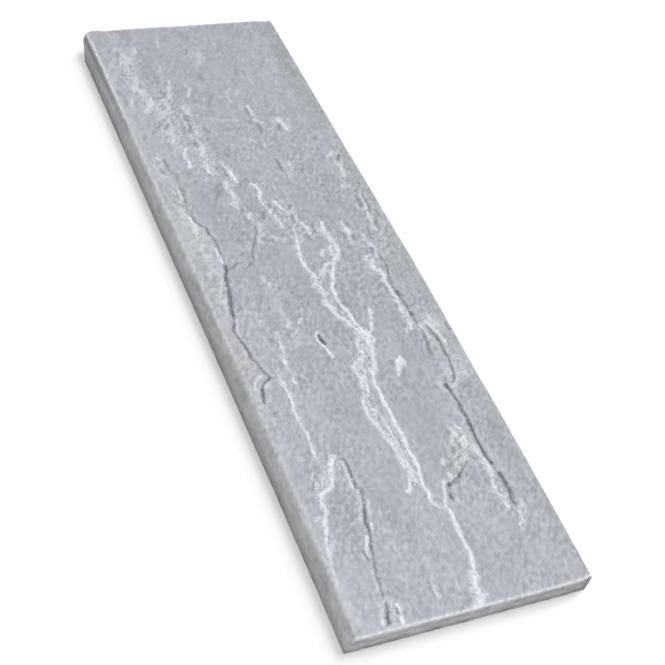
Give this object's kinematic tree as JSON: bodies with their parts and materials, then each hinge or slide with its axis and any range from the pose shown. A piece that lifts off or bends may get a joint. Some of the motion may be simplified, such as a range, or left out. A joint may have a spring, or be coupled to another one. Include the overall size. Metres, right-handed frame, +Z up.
{
  "type": "wall coping stone",
  "caption": "Flat slab of riven grey natural stone that caps a wall and sheds rain, with bevelled top edges, square ends and a drip groove under each long side.",
  "frame": {"origin": "middle of the bed, the underside that lies on the wall", "axes": "+X along the wall, the stone's length; +Y across the wall, the stone's width; +Z up, out of the riven top"},
  "size_m": [1, 0.3, 0.03],
  "materials": {
    "stone": "riven top, dressed arrises, sawn sides, ends and bed"
  },
  "bodies": {
    "root": {"coping_stone": "stone"}
  },
  "joints": []
}
